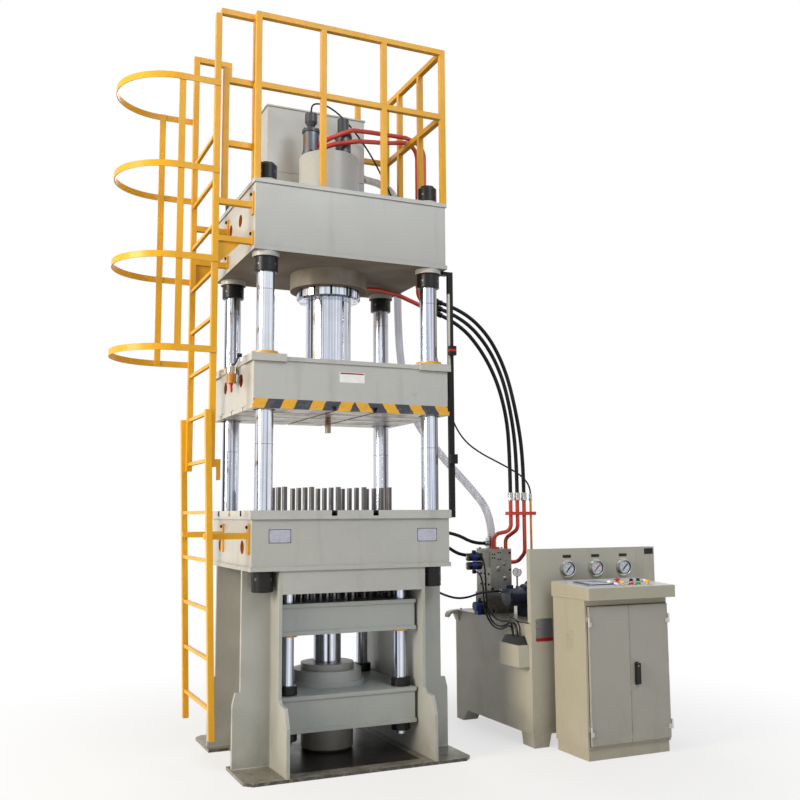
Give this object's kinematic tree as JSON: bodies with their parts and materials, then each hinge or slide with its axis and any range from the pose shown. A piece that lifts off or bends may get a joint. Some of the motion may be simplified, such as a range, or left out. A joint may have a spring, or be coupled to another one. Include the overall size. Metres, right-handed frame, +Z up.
{
  "type": "four-column hydraulic press",
  "caption": "Upright column press with a sliding platen, pin cushion, T-slotted table, caged ladder, railed top platform, separate hydraulic power unit and control cabinet.",
  "frame": {"origin": "on the floor, under the middle of the press frame, at the base plate's underside", "axes": "+Z up, +X to the right of the press's front, where the power unit stands, +Y to the back"},
  "size_m": [3.9018, 1.837, 4.955],
  "materials": {
    "frame_paint": "satin",
    "guard_paint": "gloss",
    "machined_steel": "machined",
    "chrome_plate": "polished",
    "black_steel": "satin",
    "bronze": "machined",
    "pipe_paint": "gloss",
    "hose_rubber": "matte",
    "clear_hose": "gloss",
    "valve_paint": "satin",
    "pump_paint": "gloss",
    "fitting_steel": "satin",
    "cabinet_paint": "satin",
    "red_plastic": "gloss",
    "yellow_plastic": "gloss",
    "green_plastic": "gloss",
    "black_plastic": "gloss"
  },
  "bodies": {
    "frame": {"base_plate": "frame_paint", "leg_frame_left": "frame_paint", "leg_frame_right": "frame_paint", "bolster_beam": "frame_paint", "table_plate": "machined_steel", "crown_beam": "frame_paint", "tie_columns": "chrome_plate", "tie_nuts": "black_steel", "main_cylinder": "frame_paint", "cylinder_gland": "machined_steel", "lower_beam": "frame_paint", "cushion_cylinder": "frame_paint", "cushion_columns": "chrome_plate", "cushion_nuts": "black_steel", "prefill_tank": "frame_paint", "prefill_valves": "valve_paint", "pressure_pipes": "pipe_paint", "platform_railing": "guard_paint", "ladder_upper": "guard_paint", "ladder_cage": "guard_paint", "ladder_lower": "guard_paint", "position_rail": "fitting_steel", "main_hose_1": "hose_rubber", "main_hose_2": "hose_rubber", "main_hose_3": "hose_rubber", "pilot_hose": "hose_rubber", "suction_hose": "clear_hose", "cushion_hose_1": "hose_rubber", "cushion_hose_2": "hose_rubber", "pump_cable": "hose_rubber", "hose_fittings": "fitting_steel", "oil_tank": "frame_paint", "gauge_panel": "frame_paint", "gauge_cases": "black_plastic", "manifold_block": "black_steel", "solenoid_valves": "black_plastic", "pump_motor": "pump_paint", "unit_pipes": "pipe_paint", "cabinet_body": "cabinet_paint"},
    "slider": {"slider_beam": "frame_paint", "slider_bushes": "bronze", "plunger": "chrome_plate", "lubricator": "fitting_steel"},
    "oiler_lever": {"lubricator_lever": "red_plastic"},
    "cushion": {"cushion_plate": "frame_paint", "cushion_bushes": "bronze", "cushion_rod": "chrome_plate", "cushion_pins": "machined_steel"},
    "left_door": {"door_left": "cabinet_paint"},
    "right_door": {"door_right": "cabinet_paint"},
    "handle": {"door_handle": "black_plastic"},
    "stop_head": {"emergency_stop": "red_plastic"},
    "start_head": {"start_button": "green_plastic"},
    "cycle_head_left": {"cycle_button_left": "yellow_plastic"},
    "cycle_head_right": {"cycle_button_right": "yellow_plastic"},
    "selector_knob_left": {"selector_left": "black_plastic"},
    "selector_knob_right": {"selector_right": "black_plastic"},
    "pointer_left": {"needle_left": "red_plastic"},
    "pointer_middle": {"needle_middle": "red_plastic"},
    "pointer_right": {"needle_right": "red_plastic"}
  },
  "joints": [
    {"name": "slider_stroke", "type": "slide", "parent": "frame", "child": "slider", "axis": [0, 0, 1], "range_m": [-0.44, 0.35]},
    {"name": "oiler_stroke", "type": "hinge", "parent": "slider", "child": "oiler_lever", "pos_m": [-0.73, -0.15, 2.605], "axis": [1, 0, 0], "range_deg": [-50, 8]},
    {"name": "cushion_stroke", "type": "slide", "parent": "frame", "child": "cushion", "axis": [0, 0, 1], "range_m": [-0.16, 0.04]},
    {"name": "left_door_hinge", "type": "hinge", "parent": "frame", "child": "left_door", "pos_m": [1.425, -1.09, 0.54], "axis": [0, 0, 1], "range_deg": [-110, 0]},
    {"name": "right_door_hinge", "type": "hinge", "parent": "frame", "child": "right_door", "pos_m": [2.081, -1.09, 0.54], "axis": [0, 0, 1], "range_deg": [0, 110]},
    {"name": "handle_turn", "type": "hinge", "parent": "right_door", "child": "handle", "pos_m": [1.803, -1.099, 0.586], "axis": [0, 1, 0], "range_deg": [-90, 0]},
    {"name": "stop_press", "type": "slide", "parent": "frame", "child": "stop_head", "axis": [0, -0.0516, 0.9987], "range_m": [-0.004, 0], "stiffness_N_per_m": 1500, "springref_m": 0.001},
    {"name": "start_press", "type": "slide", "parent": "frame", "child": "start_head", "axis": [0, -0.0516, 0.9987], "range_m": [-0.004, 0], "stiffness_N_per_m": 1500, "springref_m": 0.001},
    {"name": "cycle_press_left", "type": "slide", "parent": "frame", "child": "cycle_head_left", "axis": [0, -0.0516, 0.9987], "range_m": [-0.004, 0], "stiffness_N_per_m": 1500, "springref_m": 0.001},
    {"name": "cycle_press_right", "type": "slide", "parent": "frame", "child": "cycle_head_right", "axis": [0, -0.0516, 0.9987], "range_m": [-0.004, 0], "stiffness_N_per_m": 1500, "springref_m": 0.001},
    {"name": "selector_turn_left", "type": "hinge", "parent": "frame", "child": "selector_knob_left", "pos_m": [1.9, -0.93, 1.1207], "axis": [0, -0.0516, 0.9987], "range_deg": [-45, 45]},
    {"name": "selector_turn_right", "type": "hinge", "parent": "frame", "child": "selector_knob_right", "pos_m": [1.958, -0.93, 1.1207], "axis": [0, -0.0516, 0.9987], "range_deg": [-45, 45]},
    {"name": "pointer_left_sweep", "type": "hinge", "parent": "frame", "child": "pointer_left", "pos_m": [1.588, -0.636, 1.208], "axis": [0, 1, 0], "range_deg": [-180, 90]},
    {"name": "pointer_middle_sweep", "type": "hinge", "parent": "frame", "child": "pointer_middle", "pos_m": [1.832, -0.636, 1.208], "axis": [0, 1, 0], "range_deg": [-180, 90]},
    {"name": "pointer_right_sweep", "type": "hinge", "parent": "frame", "child": "pointer_right", "pos_m": [2.076, -0.636, 1.208], "axis": [0, 1, 0], "range_deg": [-180, 90]}
  ]
}
